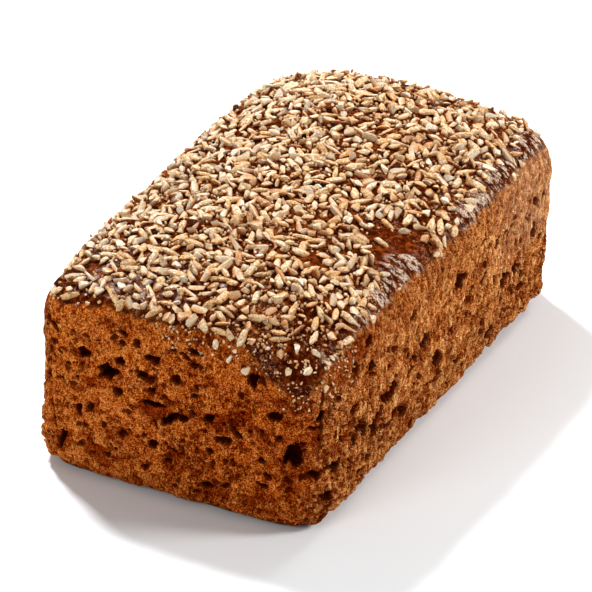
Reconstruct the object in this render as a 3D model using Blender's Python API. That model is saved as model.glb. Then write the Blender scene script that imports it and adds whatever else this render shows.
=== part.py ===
"""A whole tin-baked rye bread, sown with cracked rye groats.

The loaf is one solid: the long rounded block that a tin gives, with a low arched top, walls pitted by
burst bubbles, and the largest groats of the topping fused to the crust. It stands on its flat base,
centred on the origin, with its length along Y.
"""

from math import cos, hypot, pi, radians, sin, sqrt
from random import Random

import bmesh
import bpy
from mathutils import Matrix, Vector, noise

# Loaf, in metres
LENGTH = 0.201
WIDTH = 0.109
WALL_HEIGHT = 0.0584
CROWN_ACROSS = 0.0099
CROWN_ALONG = 0.0100
ACROSS_POWER = 2.8
ALONG_POWER = 5.1
CORNER_RADIUS = 0.0169
BASE_ROUNDING = 0.0092
TOP_ROUNDING = 0.0086
SIDE_BOW = 0.0014

# Cells of the plain block's surface, and the heights on the unit cube between its roundings and its wall
CELLS_ACROSS = 12
CELLS_ALONG = 24
BASE_CELLS = 2
WALL_CELLS = 4
TOP_CELLS = 3
WALL_START = -0.5
WALL_END = 0.4

# Uneven crust, which fades out at the foot
RELIEF = 0.0008
RELIEF_SPACING = 0.024
RELIEF_FOOT = 0.014

# Pits of the near end: place across, height, half width, half height, lean in degrees
END_PITS = (
    (-0.0337, 0.0491, 0.0021, 0.0021, 20),
    (-0.0246, 0.0447, 0.0032, 0.0026, -10),
    (-0.0199, 0.0495, 0.0019, 0.0019, 0),
    (-0.0203, 0.0382, 0.0018, 0.0016, 0),
    (-0.0082, 0.0543, 0.0027, 0.0014, 10),
    (-0.0120, 0.0467, 0.0023, 0.0016, -15),
    (-0.0346, 0.0276, 0.0012, 0.0020, 0),
    (0.0375, 0.0447, 0.0032, 0.0020, 12),
    (0.0440, 0.0313, 0.0030, 0.0040, -20),
    (0.0132, 0.0370, 0.0018, 0.0018, 0),
    (-0.0008, 0.0330, 0.0045, 0.0013, 40),
    (0.0197, 0.0308, 0.0028, 0.0012, -8),
    (0.0290, 0.0560, 0.0016, 0.0026, 0),
    (0.0134, 0.0112, 0.0022, 0.0013, 0),
    (0.0400, 0.0215, 0.0046, 0.0020, 18),
)

# Pits of the right side: place along, then as above
SIDE_PITS = (
    (-0.0637, 0.0508, 0.0036, 0.0026, 0),
    (-0.0448, 0.0321, 0.0034, 0.0036, 10),
    (-0.0576, 0.0250, 0.0034, 0.0044, -10),
    (-0.0351, 0.0182, 0.0030, 0.0024, 0),
    (0.0082, 0.0488, 0.0040, 0.0032, 15),
    (0.0306, 0.0388, 0.0022, 0.0024, 0),
    (0.0481, 0.0295, 0.0046, 0.0024, 10),
    (0.0595, 0.0284, 0.0034, 0.0026, 0),
    (0.0384, 0.0123, 0.0040, 0.0024, 10),
    (-0.0204, 0.0394, 0.0034, 0.0028, 0),
    (-0.0335, 0.0401, 0.0018, 0.0018, 0),
    (-0.0861, 0.0241, 0.0034, 0.0024, 0),
    (-0.0695, 0.0310, 0.0030, 0.0028, 20),
    (0.0741, 0.0362, 0.0026, 0.0022, 0),
)

# Pits of the other two walls, which follow the same habit
FAR_PITS = 13
LEFT_PITS = 15
PIT_SEED = 5
PIT_SPACING = 0.012
PIT_LOWEST = 0.012
PIT_HIGHEST = 0.055
PIT_HALF_WIDTH = (0.0016, 0.0040)
PIT_HALF_HEIGHT = (0.0014, 0.0028)
PIT_LEAN = 25
PIT_DEPTH = 0.9
PIT_ROUGHNESS = 0.18
LARGE_PIT = 0.0041

# Largest groats of the topping
GROATS = 152
GROAT_SEED = 23
GROAT_SPACING = 0.0084
GROAT_LENGTH = (0.0064, 0.0084)
GROAT_WIDTH = (0.0021, 0.0027)
GROAT_THICKNESS = (0.0017, 0.0021)
GROAT_TILT = 12
GROAT_SIDES = 5
GROAT_RINGS = 4
GROAT_RISE = 0.25

# How far in from the walls' outline the topping starts
SOWN_LEFT = 0.0035
SOWN_RIGHT = 0.0100
SOWN_NEAR = 0.0030
SOWN_FAR = 0.0040

# Bare patches of the topping: place across, place along, radius
BARE_PATCHES = (
    (0.0421, -0.0147, 0.0065),
    (0.0449, -0.0330, 0.0050),
    (-0.0300, 0.0321, 0.0040),
    (-0.0394, -0.0797, 0.0055),
    (-0.0393, -0.0334, 0.0035),
    (0.0469, -0.0915, 0.0070),
)

# Way out of each wall
WALL_WAYS = {"near": (0, -1, 0), "right": (1, 0, 0), "far": (0, 1, 0), "left": (-1, 0, 0)}

HALF_LENGTH = LENGTH / 2
HALF_WIDTH = WIDTH / 2
SMALLEST_STEP = 0.0002
WELD = 0.000002


def clear_scene():
    for thing in list(bpy.data.objects):
        bpy.data.objects.remove(thing, do_unlink=True)


def crust_material():
    material = bpy.data.materials.new("crust")
    material.use_nodes = True
    shader = material.node_tree.nodes["Principled BSDF"]
    shader.inputs["Base Color"].default_value = (0.33, 0.13, 0.035, 1)
    shader.inputs["Roughness"].default_value = 0.8
    shader.inputs["Metallic"].default_value = 0
    return material


def crown(x, y):
    """Rise of the arched top above the walls' height at the corners."""
    across = CROWN_ACROSS * (1 - min(1, abs(x) / HALF_WIDTH) ** ACROSS_POWER)
    along = CROWN_ALONG * (1 - min(1, abs(y) / HALF_LENGTH) ** ALONG_POWER)
    return across + along


def kept_within(value, limit):
    return max(-limit, min(limit, value))


def bowed(x, y, z):
    """The long sides bow out a little towards the middle."""
    return Vector((x * (1 + SIDE_BOW / HALF_WIDTH * (1 - (y / HALF_LENGTH) ** 2)), y, z))


def outline(u, v):
    """Point of the walls' outline for a point on the edge of the square from -1 to 1, and its outward way."""
    x = u * HALF_WIDTH
    y = v * HALF_LENGTH
    core_x = kept_within(x, HALF_WIDTH - CORNER_RADIUS)
    core_y = kept_within(y, HALF_LENGTH - CORNER_RADIUS)
    outward = Vector((x - core_x, y - core_y, 0)).normalized()
    return Vector((core_x, core_y, 0)) + outward * CORNER_RADIUS, outward


def wall_point(u, v, w):
    """Point of the walls, through the base's rounding, the straight wall and the top's rounding."""
    edge, outward = outline(u, v)
    if w < WALL_START:
        angle = (w + 1) / (WALL_START + 1) * pi / 2
        place = edge - outward * BASE_ROUNDING * (1 - sin(angle))
        return bowed(place.x, place.y, BASE_ROUNDING * (1 - cos(angle)))
    if w < WALL_END:
        straight = WALL_HEIGHT + crown(edge.x, edge.y) - BASE_ROUNDING - TOP_ROUNDING
        share = (w - WALL_START) / (WALL_END - WALL_START)
        return bowed(edge.x, edge.y, BASE_ROUNDING + straight * share)
    angle = (w - WALL_END) / (1 - WALL_END) * pi / 2
    place = edge - outward * TOP_ROUNDING * (1 - cos(angle))
    height = WALL_HEIGHT - TOP_ROUNDING * (1 - sin(angle)) + crown(place.x, place.y)
    return bowed(place.x, place.y, height)


def flat_point(u, v, rounding):
    """Point inside the rounded edge of the base or the top, seen from above."""
    ring = max(abs(u), abs(v))
    if ring == 0:
        return Vector((0, 0, 0))
    edge, outward = outline(u / ring, v / ring)
    return (edge - outward * rounding) * ring


def block_point(u, v, w):
    """Point of the plain loaf for a point on the cube from -1 to 1."""
    if max(abs(u), abs(v)) > 1 - SMALLEST_STEP:
        return wall_point(u, v, w)
    if w < 0:
        place = flat_point(u, v, BASE_ROUNDING)
        return bowed(place.x, place.y, 0)
    place = flat_point(u, v, TOP_ROUNDING)
    return bowed(place.x, place.y, WALL_HEIGHT + crown(place.x, place.y))


def relief(point):
    """How far the uneven crust stands out at a point."""
    waves = noise.noise(point / RELIEF_SPACING) + 0.5 * noise.noise(point * 2.3 / RELIEF_SPACING)
    return RELIEF * waves * min(1, max(0, point.z) / RELIEF_FOOT)


def object_of(name, bm, material, collection):
    mesh = bpy.data.meshes.new(name)
    bm.to_mesh(mesh)
    bm.free()
    mesh.materials.append(material)
    thing = bpy.data.objects.new(name, mesh)
    collection.objects.link(thing)
    return thing


def steps(low, high, cells):
    """Ends of equal cells after the lowest one."""
    return [low + (high - low) * step / cells for step in range(1, cells + 1)]


def slice_cube(bm, way, cuts):
    for cut in cuts:
        everything = bm.verts[:] + bm.edges[:] + bm.faces[:]
        bmesh.ops.bisect_plane(bm, geom=everything, plane_co=way * cut, plane_no=way)


def make_block(material):
    """The plain loaf with its uneven crust, its flat base one face."""
    bm = bmesh.new()
    bmesh.ops.create_cube(bm, size=2)
    levels = steps(-1, WALL_START, BASE_CELLS) + steps(WALL_START, WALL_END, WALL_CELLS)
    levels += steps(WALL_END, 1, TOP_CELLS)
    slice_cube(bm, Vector((1, 0, 0)), steps(-1, 1, CELLS_ACROSS)[:-1])
    slice_cube(bm, Vector((0, 1, 0)), steps(-1, 1, CELLS_ALONG)[:-1])
    slice_cube(bm, Vector((0, 0, 1)), levels[:-1])
    for corner in bm.verts:
        corner.co = block_point(*corner.co)
    bm.normal_update()
    moves = [corner.normal * relief(corner.co) for corner in bm.verts]
    for corner, move in zip(bm.verts, moves):
        corner.co += move
    base = [face for face in bm.faces if max(corner.co.z for corner in face.verts) < WELD]
    bmesh.ops.dissolve_faces(bm, faces=base)
    return object_of("loaf", bm, material, bpy.context.scene.collection)


def roughened(bm, amount, turn):
    """Uneven radius for a shape round the origin, different for each turn value."""
    for corner in bm.verts:
        corner.co *= 1 + amount * noise.noise(corner.co * 1.7 + Vector((turn, 0, 0)))


def frame_at(place, along, out):
    """Matrix at a place with its X axis out of the crust and its Z axis as near to along as it can be."""
    side = along.cross(out).normalized()
    return Matrix.Translation(place) @ Matrix((out, side, out.cross(side))).transposed().to_4x4()


def pit_frame(wall, place, height, lean):
    """Matrix of a pit on one wall: its X axis out, its Z axis level but for the lean."""
    out = Vector(WALL_WAYS[wall])
    across = Vector((-out.y, out.x, 0))
    middle = out * (HALF_WIDTH if out.x else HALF_LENGTH) + across * place
    along = Matrix.Rotation(radians(lean), 3, out) @ across
    return frame_at(bowed(middle.x, middle.y, height), along, out)


def scattered(draw, count, spacing, low, high, allowed):
    """Places of a flat field that keep a spacing, taken one after another."""
    found = []
    for _ in range(count * 400):
        spot = (draw.uniform(low[0], high[0]), draw.uniform(low[1], high[1]))
        clear = all(hypot(spot[0] - other[0], spot[1] - other[1]) > spacing for other in found)
        if clear and allowed(*spot):
            found.append(spot)
        if len(found) == count:
            break
    return found


def hidden_pits(draw, count, reach):
    """Seeded pits of a wall: place, height, half width, half height, lean."""
    low = (-reach, PIT_LOWEST)
    high = (reach, PIT_HIGHEST)
    rows = []
    for place, height in scattered(draw, count, PIT_SPACING, low, high, lambda x, y: True):
        wide = draw.uniform(*PIT_HALF_WIDTH)
        tall = draw.uniform(*PIT_HALF_HEIGHT)
        rows.append((place, height, wide, tall, draw.uniform(-PIT_LEAN, PIT_LEAN)))
    return rows


def all_pits():
    draw = Random(PIT_SEED)
    flat_end = HALF_WIDTH - CORNER_RADIUS
    flat_side = HALF_LENGTH - CORNER_RADIUS
    walls = {
        "near": END_PITS,
        "right": SIDE_PITS,
        "far": hidden_pits(draw, FAR_PITS, flat_end),
        "left": hidden_pits(draw, LEFT_PITS, flat_side),
    }
    return [(wall, row) for wall, rows in walls.items() for row in rows]


def make_pits(material, collection):
    for number, (wall, (place, height, wide, tall, lean)) in enumerate(all_pits()):
        bm = bmesh.new()
        bmesh.ops.create_icosphere(bm, subdivisions=2 if max(wide, tall) > LARGE_PIT else 1, radius=1)
        roughened(bm, PIT_ROUGHNESS, number)
        depth = PIT_DEPTH * sqrt(wide * tall)
        bmesh.ops.scale(bm, vec=(depth, tall, wide), verts=bm.verts[:])
        bmesh.ops.transform(bm, matrix=pit_frame(wall, place, height, lean), verts=bm.verts[:])
        object_of(f"pit_{number}", bm, material, collection)


def room(x, y):
    """Distance in from the walls' outline, seen from above."""
    over_x = abs(x) - HALF_WIDTH + CORNER_RADIUS
    over_y = abs(y) - HALF_LENGTH + CORNER_RADIUS
    return CORNER_RADIUS - hypot(max(0, over_x), max(0, over_y)) - min(0, max(over_x, over_y))


def top_point(x, y):
    """Point of the plain top over a place seen from above."""
    drop = TOP_ROUNDING - kept_within(room(x, y), TOP_ROUNDING)
    fall = TOP_ROUNDING - sqrt(max(0, TOP_ROUNDING ** 2 - drop ** 2))
    return bowed(x, y, WALL_HEIGHT - fall + crown(x, y))


def top_normal(x, y):
    across = top_point(x + SMALLEST_STEP, y) - top_point(x - SMALLEST_STEP, y)
    along = top_point(x, y + SMALLEST_STEP) - top_point(x, y - SMALLEST_STEP)
    return across.cross(along).normalized()


def sown(x, y):
    """Whether the topping covers a place seen from above."""
    margin_x = SOWN_RIGHT if x > 0 else SOWN_LEFT
    margin_y = SOWN_FAR if y > 0 else SOWN_NEAR
    inside = HALF_WIDTH - abs(x) > margin_x and HALF_LENGTH - abs(y) > margin_y
    clear = all(hypot(x - across, y - along) > radius for across, along, radius in BARE_PATCHES)
    return inside and clear and room(x, y) > min(margin_x, margin_y)


def make_groats(material, collection):
    draw = Random(GROAT_SEED)
    corner = (HALF_WIDTH, HALF_LENGTH)
    places = scattered(draw, GROATS, GROAT_SPACING, (-corner[0], -corner[1]), corner, sown)
    for number, (x, y) in enumerate(places):
        long = draw.uniform(*GROAT_LENGTH) / 2
        wide = draw.uniform(*GROAT_WIDTH) / 2
        thick = draw.uniform(*GROAT_THICKNESS) / 2
        turn = draw.uniform(0, pi)
        tilt = radians(draw.uniform(-GROAT_TILT, GROAT_TILT))
        out = top_normal(x, y)
        ground = top_point(x, y)
        ground += out * relief(ground)
        along = Vector((cos(turn), sin(turn), 0))
        spot = frame_at(ground + out * thick * 2 * GROAT_RISE, along, out)
        bm = bmesh.new()
        bmesh.ops.create_uvsphere(bm, u_segments=GROAT_SIDES, v_segments=GROAT_RINGS, radius=1)
        bmesh.ops.scale(bm, vec=(thick, wide, long), verts=bm.verts[:])
        bmesh.ops.transform(bm, matrix=spot @ Matrix.Rotation(tilt, 4, "Y"), verts=bm.verts[:])
        object_of(f"groat_{number}", bm, material, collection)


def helpers(name):
    collection = bpy.data.collections.new(name)
    bpy.context.scene.collection.children.link(collection)
    return collection


def join_into(target, collection, operation):
    """One Boolean with all of a collection, applied, after which the collection's objects are removed."""
    modifier = target.modifiers.new(collection.name, "BOOLEAN")
    modifier.operation = operation
    modifier.operand_type = "COLLECTION"
    modifier.collection = collection
    modifier.solver = "MANIFOLD"
    bpy.context.view_layer.objects.active = target
    bpy.ops.object.modifier_apply(modifier=modifier.name)
    for thing in list(collection.objects):
        bpy.data.objects.remove(thing, do_unlink=True)
    bpy.data.collections.remove(collection)


def islands(bm):
    """Groups of connected points."""
    left = set(bm.verts)
    groups = []
    while left:
        group = {left.pop()}
        front = list(group)
        while front:
            corner = front.pop()
            near = {edge.other_vert(corner) for edge in corner.link_edges} - group
            group |= near
            front += near
        left -= group
        groups.append(group)
    return groups


def keep_largest_body(thing):
    """Drops loose scraps and fills sealed hollows, which both are groups of points of their own."""
    bm = bmesh.new()
    bm.from_mesh(thing.data)
    bmesh.ops.remove_doubles(bm, verts=bm.verts[:], dist=WELD)
    groups = sorted(islands(bm), key=len)
    for group in groups[:-1]:
        bmesh.ops.delete(bm, geom=list(group), context="VERTS")
    bmesh.ops.triangulate(bm, faces=bm.faces[:])
    bm.to_mesh(thing.data)
    bm.free()


def main():
    clear_scene()
    material = crust_material()
    loaf = make_block(material)
    pits = helpers("pits")
    make_pits(material, pits)
    join_into(loaf, pits, "DIFFERENCE")
    groats = helpers("groats")
    make_groats(material, groats)
    join_into(loaf, groats, "UNION")
    keep_largest_body(loaf)


main()
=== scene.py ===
"""Looks of the tin-baked rye bread: pitted crust, glossy top skin, and the sown rye groats."""

from math import cos, hypot, pi, radians, sin, sqrt
from random import Random

import bmesh
import bpy
import numpy as np
from mathutils import Matrix, Vector, noise
from mathutils.bvhtree import BVHTree


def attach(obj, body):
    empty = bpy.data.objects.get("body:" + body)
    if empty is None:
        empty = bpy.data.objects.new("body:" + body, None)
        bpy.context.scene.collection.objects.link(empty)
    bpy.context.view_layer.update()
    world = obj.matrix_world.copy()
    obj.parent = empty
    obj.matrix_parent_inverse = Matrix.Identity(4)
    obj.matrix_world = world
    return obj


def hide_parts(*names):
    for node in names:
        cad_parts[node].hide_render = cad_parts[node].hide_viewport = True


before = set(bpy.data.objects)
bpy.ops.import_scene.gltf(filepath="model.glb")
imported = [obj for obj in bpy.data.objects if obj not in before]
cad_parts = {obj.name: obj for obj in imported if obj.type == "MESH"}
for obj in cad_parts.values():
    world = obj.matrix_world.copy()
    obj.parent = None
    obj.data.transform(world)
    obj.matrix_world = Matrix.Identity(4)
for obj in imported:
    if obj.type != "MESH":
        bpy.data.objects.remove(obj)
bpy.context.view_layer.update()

# The photograph's camera, in metres: where it stands, and its ways right, up and forward
CAMERA_PLACE = (0.830431, -1.860036, 1.166020)
CAMERA_RIGHT = Vector((0.902544, 0.428675, 0.040643))
CAMERA_UP = Vector((-0.241040, 0.424759, 0.872628))
CAMERA_AHEAD = Vector((-0.356811, 0.797382, -0.486691))
CAMERA_LENS = 410.84

# Loaf, in metres, as the CAD has it
LENGTH = 0.201
WIDTH = 0.109
WALL_HEIGHT = 0.0584
CROWN_ACROSS = 0.0099
CROWN_ALONG = 0.0100
ACROSS_POWER = 2.8
ALONG_POWER = 5.1
CORNER_RADIUS = 0.0169
BASE_ROUNDING = 0.0092
TOP_ROUNDING = 0.0086
SIDE_BOW = 0.0014
RELIEF = 0.0008
RELIEF_SPACING = 0.024
RELIEF_FOOT = 0.014
HALF_LENGTH = LENGTH / 2
HALF_WIDTH = WIDTH / 2
SMALLEST_STEP = 0.0002

# Crust surface: size of a cell, triangles that are kept, and the share of the height in each rounding
CELL = 0.00046
CRUST_TRIANGLES = 192000
WALL_STOPS = ((0.0, 0.185, 0.83, 1.0), (-1.0, -0.5, 0.4, 1.0))
WALL_START = -0.5
WALL_END = 0.4

MM = 0.001

# Pits of the near end, in mm: place across, height, half width, half height, then the lean in degrees
END_PITS = (
    (-33.7, 49.1, 2.1, 2.1, 20), (-24.6, 44.7, 3.2, 2.6, -10), (-19.9, 49.5, 1.9, 1.9, 0),
    (-20.3, 38.2, 1.8, 1.6, 0), (-8.2, 54.3, 2.7, 1.4, 10), (-12, 46.7, 2.3, 1.6, -15),
    (-34.6, 27.6, 1.2, 2, 0), (37.5, 44.7, 3.2, 2, 12), (44, 31.3, 3, 4, -20),
    (13.2, 37, 1.8, 1.8, 0), (-0.8, 33, 4.5, 1.3, 40), (19.7, 30.8, 2.8, 1.2, -8),
    (29, 56, 1.6, 2.6, 0), (13.4, 11.2, 2.2, 1.3, 0),
)

# Pits of the right side, in mm: place along, then as above
SIDE_PITS = (
    (-63.7, 50.8, 3.6, 2.6, 0), (-44.8, 32.1, 3.4, 3.6, 10), (-57.6, 25, 3.4, 4.4, -10),
    (-35.1, 18.2, 3, 2.4, 0), (8.2, 48.8, 4, 3.2, 15), (30.6, 38.8, 2.2, 2.4, 0),
    (48.1, 29.5, 4.6, 2.4, 10), (59.5, 28.4, 3.4, 2.6, 0), (38.4, 12.3, 4, 2.4, 10),
    (-20.4, 39.4, 3.4, 2.8, 0), (-33.5, 40.1, 1.8, 1.8, 0), (-86.1, 24.1, 3.4, 2.4, 0),
    (-69.5, 31, 3, 2.8, 20), (74.1, 36.2, 2.6, 2.2, 0),
)

# Smaller pits that show on the near end, in mm: place across, height, half width, half height
END_DENTS = (
    (-37.9, 56.2, 0.8, 0.7), (-44.8, 49.7, 0.9, 0.8), (-30.5, 28.7, 1, 1.6), (-19.5, 60.6, 1.6, 0.8),
    (-19.6, 56.6, 1.2, 1), (-13.9, 58.2, 1.4, 1.2), (-0.6, 59.4, 1.1, 0.9), (7.8, 60.6, 2.4, 0.9),
    (4.2, 58.2, 2, 0.8), (7.5, 55.8, 1.8, 0.9), (1, 48.5, 1.4, 1.8), (-7.6, 42, 1.4, 1.3),
    (-3.5, 45.4, 0.9, 0.8), (25.2, 60.3, 0.8, 0.7), (27.9, 56.4, 1.1, 1.5), (24.6, 49.3, 1.3, 1),
    (7.9, 44.2, 1.3, 0.9), (39.1, 36.4, 1.1, 1.3), (45, 28.7, 1.6, 2), (33.2, 26.5, 1.3, 1),
    (32.9, 36.7, 1, 1), (28.7, 36.6, 1, 1), (24.2, 33.8, 1.5, 1.3), (17.7, 30.1, 2.1, 0.9),
    (4, 34.6, 1.9, 1.2), (-6.9, 21.5, 1.9, 1.3), (-10.2, 23.9, 0.9, 0.8), (0.6, 21.2, 1.4, 0.8),
    (-0.9, 16.7, 1.6, 1), (6.3, 19.9, 1, 0.8), (14, 24.9, 1.4, 0.9), (15.5, 20.6, 1, 0.9),
    (20.1, 22.6, 0.9, 1.3), (22.5, 23.5, 0.8, 0.7), (20.1, 13, 1.8, 0.9), (35.7, 21.3, 2, 0.9),
    (34.1, 17.1, 1.9, 1), (27.1, 7.5, 1, 0.7), (-33.6, 13.8, 1, 0.9), (-41, 14.3, 1.1, 3.1),
    (-23.8, 12.1, 1, 0.8), (-25.3, 23.6, 1, 1.3), (-9.5, 11.8, 1.4, 0.9), (7.5, 37.5, 1.2, 1),
    (-7.4, 36.5, 3.7, 0.9), (-50.1, 52.6, 1.3, 1.4), (-45.4, 54.6, 1.9, 0.9), (-48.5, 35, 1, 2.1),
    (-18.4, 21.9, 1.7, 0.8), (30.6, 58, 0.7, 1),
)

# Smaller pits that show on the right side, in mm: place along, then as above
SIDE_DENTS = (
    (75, 37.7, 2, 1.8), (40, 48.6, 2, 1.2), (46, 42.7, 1.2, 1.2), (-3.4, 59.6, 1.2, 0.9),
    (-8.8, 61, 1.2, 0.9), (56.4, 21.2, 1.3, 1.2), (81.4, 25, 1.3, 1.2), (81.1, 47.9, 1.2, 1),
    (-28.8, 36.6, 1.3, 1.3), (10.8, 15.4, 1.8, 2), (17.5, 20, 1.3, 1), (32, 20.7, 1.2, 1.2),
    (-4.4, 50.7, 1.3, 1), (18.3, 35.9, 1.2, 1), (-49, 42.6, 1.2, 1.1), (-65.6, 61, 1.7, 1.6),
    (-18.7, 38, 3.6, 2.2), (-32.2, 33.5, 1.9, 1.2), (-7.8, 26.4, 3.6, 2), (-23.9, 27, 1.3, 1.2),
    (-9, 17.1, 1.5, 1.3), (-19.8, 16.2, 2.1, 1.4), (-66.2, 27.5, 2.6, 2.4), (-74.7, 39.5, 3, 1.6),
    (-48.7, 31.1, 3, 1.8), (-42, 21.5, 1.7, 2.1), (-48.1, 17.4, 2.4, 2), (-76.9, 18, 2.1, 1.6),
    (-81.4, 31.5, 1.4, 1.6), (-73.8, 26.1, 2.1, 1.4), (-89.7, 12.8, 2.4, 1.8), (-87.6, 36.3, 1, 1.6),
    (-59.4, 13.3, 1.8, 1.3), (-67.5, 19.4, 1.4, 1.4), (-53.9, 29.5, 1.3, 1.3), (-40.4, 10.2, 1.6, 1),
    (-86.5, 49.3, 1.2, 1.2), (-77.3, 34.2, 1.9, 1.1), (-75.3, 56, 1.9, 1.9), (-93, 44.9, 1.8, 1.5),
    (65.2, 19, 1.6, 1.4), (90.5, 33, 1.8, 1.6),
)

# Pits of the two hidden walls, as the CAD draws them
FAR_PITS = 13
LEFT_PITS = 15
PIT_SEED = 5
PIT_SPACING = 0.012
PIT_LOWEST = 0.012
PIT_HIGHEST = 0.055
PIT_HALF_WIDTH = (0.0016, 0.0040)
PIT_HALF_HEIGHT = (0.0014, 0.0028)
PIT_LEAN = 25
PIT_DEPTH = 1.1

# Smallest pits of each wall: area that each one has, smallest and largest half width
FINE_PIT_SEED = 31
FINE_PITS = {
    "near": ((0.000085, 0.0007, 0.0014), (0.000022, 0.0004, 0.0007)),
    "right": ((0.000060, 0.0009, 0.0019), (0.000026, 0.0005, 0.0009)),
    "far": ((0.000050, 0.0007, 0.0015), (0.000022, 0.0004, 0.0007)),
    "left": ((0.000045, 0.0009, 0.0019), (0.000026, 0.0005, 0.0009)),
}
FINE_PIT_LOWEST = 0.003

# Depth from which a pit is at its darkest: its inside is painted darker with depth, as painted shade
DARKEST_DEPTH = 0.0030

# Cracks, going in, and ridges, standing out, in mm: their height, then their points, each with its half width
SEAMS = (
    (-2.8, ((39.5, -100.3, 21.2, 0.3), (44.1, -99.2, 22.9, 0.4), (47.8, -97, 23.8, 0.6),
            (49.7, -95.4, 23.6, 1.5), (51, -93.9, 22.6, 1.9), (51.9, -92.5, 23.8, 1))),
    (-1.8, ((51.3, -93.4, 23.6, 1), (52.6, -91.2, 24.8, 0.8), (53.4, -89.2, 24.4, 1.2))),
    (0.7, ((49.7, -95.3, 56, 0.6), (50.5, -94.6, 47, 0.9), (50, -95, 39, 1), (50.3, -94.8, 33, 0.9),
           (49.3, -95.7, 27, 0.7))),
    (-1, ((51.5, -93.3, 44, 0.4), (51.7, -93, 40, 1), (51.2, -93.6, 34, 0.6),
          (50.7, -94.2, 28.5, 0.5))),
    (-0.9, ((51.1, -93.8, 56, 0.4), (51.4, -93.4, 52, 0.7), (51.1, -93.8, 49, 0.4))),
    (-1, ((-46.2, -97.9, 28.5, 0.4), (-45.2, -98.6, 25, 0.9), (-44.6, -99, 20, 0.9),
          (-42.8, -99.8, 16.5, 0.4))),
    (-0.8, ((-49.2, -95.8, 50, 0.4), (-48.6, -96.3, 45.5, 0.8), (-49.1, -95.9, 40, 0.4))),
    (0.6, ((-48, -96.8, 30, 0.8), (-47.4, -97.2, 24, 1.1), (-46.2, -98, 18, 0.8))),
    (-2.2, ((40, 100.2, 19, 0.5), (48, 96.8, 21.5, 1.6), (53.5, 88, 20.5, 0.8))),
    (0.6, ((50, 95, 56, 0.9), (50.3, 94.7, 40, 1.1), (50, 95, 26, 0.8))),
    (-1, ((-50, 95, 58, 0.6), (-50.4, 94.6, 42, 0.9), (-50, 95, 25, 0.6))),
    (0.6, ((-48.5, 96.4, 56, 0.8), (-49, 96, 40, 1), (-48.8, 96.1, 25, 0.8))),
)

# Groats that the CAD holds
GROATS = 152
GROAT_SEED = 23
GROAT_SPACING = 0.0084
GROAT_LENGTH = (0.0064, 0.0084)
GROAT_WIDTH = (0.0021, 0.0027)
GROAT_THICKNESS = (0.0017, 0.0021)
GROAT_TILT = 12
GROAT_RISE = 0.25
GROAT_TONE_SEED = 2
GROAT_RAISED = 0.9
SOWN_LEFT = 0.0035
SOWN_RIGHT = 0.0100
SOWN_NEAR = 0.0030
SOWN_FAR = 0.0040

# Bare patches of the topping: place across, place along, radius
BARE_PATCHES = (
    (0.0421, -0.0147, 0.0065),
    (0.0449, -0.0330, 0.0050),
    (-0.0300, 0.0321, 0.0040),
    (-0.0394, -0.0797, 0.0055),
    (-0.0393, -0.0334, 0.0035),
    (0.0469, -0.0915, 0.0070),
)

# How far the top skin lies below the CAD's surface: at the rim, more in the middle, and more on the left
SKIN_SINK = (0.0008, 0.0010, 0.0010)
SKIN_SINK_REACH = 0.010

# Laying the grains: highest pile, longest small grain, height over the skin that counts as lying on another
# grain, height that a grain's mark of being raised is divided by, most cells that count as too few for a
# slope, and the smallest upright part of a slope's way out
PILE_HEIGHT = 0.0028
SMALL_LENGTH = 0.003
TOUCHING = 0.0003
RAISED_SCALE = 0.0025
FEW_CELLS = 5
STEEPEST = 0.35

# How far the long sides are drawn in at the foot, at mid length
FOOT_TUCK = 0.0019

# Thin patches of the topping, as the bare ones
THIN_PATCHES = (
    (0.0421, -0.0157, 0.0125),
    (0.0440, -0.0295, 0.0100),
    (-0.0300, 0.0321, 0.0045),
    (-0.0394, -0.0797, 0.0048),
    (-0.0393, -0.0334, 0.0042),
    (0.0469, -0.0915, 0.0090),
    (0.0100, 0.0330, 0.0040),
    (0.0240, -0.0480, 0.0050),
)

# Places where few grains stay: way across and its ramp, way along and its ramp, then the shares of the small
# and of the large grains that are lost. They are the near right corner, the far rim and the left near rim
SPARSE_PLACES = (
    (1, (0.010, 0.032), -1, (0.068, 0.090), 0.35, 0.86),
    (1, (-0.040, -0.020), 1, (0.080, 0.090), 0.70, 0.90),
    (-1, (0.012, 0.030), -1, (0.0885, 0.0930), 0.75, 0.95),
)

# Glaze of the right rim: its least width, then each wider patch's middle along, half length and added width
GLAZE_WIDTH = 0.0028
GLAZE_PATCHES = (
    (-0.086, 0.004, 0.0028),
    (-0.063, 0.004, 0.0030),
    (-0.050, 0.006, 0.0030),
    (-0.033, 0.011, 0.0075),
    (0.023, 0.009, 0.0040),
    (0.048, 0.013, 0.0060),
    (0.082, 0.013, 0.0068),
)

WALL_WAYS = {"near": (0, -1, 0), "right": (1, 0, 0), "far": (0, 1, 0), "left": (-1, 0, 0)}

# Rounds of sowing on the top: piece, seed, tries, ranges of length, width and thickness, spread of the lean
# in degrees, and the share of a grain that may lie on others
SOWINGS = (
    ("rye_kernels", 41, 520, (0.0056, 0.0084), (0.0025, 0.0033), (0.0016, 0.0021), 12, 0.24),
    ("rye_slivers", 42, 2800, (0.0044, 0.0074), (0.0026, 0.0039), (0.0017, 0.0025), 20, 0.34),
    ("rye_chips", 43, 8000, (0.0030, 0.0054), (0.0028, 0.0043), (0.0021, 0.0030), 30, 0.46),
    ("rye_crumbs", 44, 9000, (0.0010, 0.0023), (0.0010, 0.0019), (0.0008, 0.0015), 20, 0.5),
)

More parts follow.
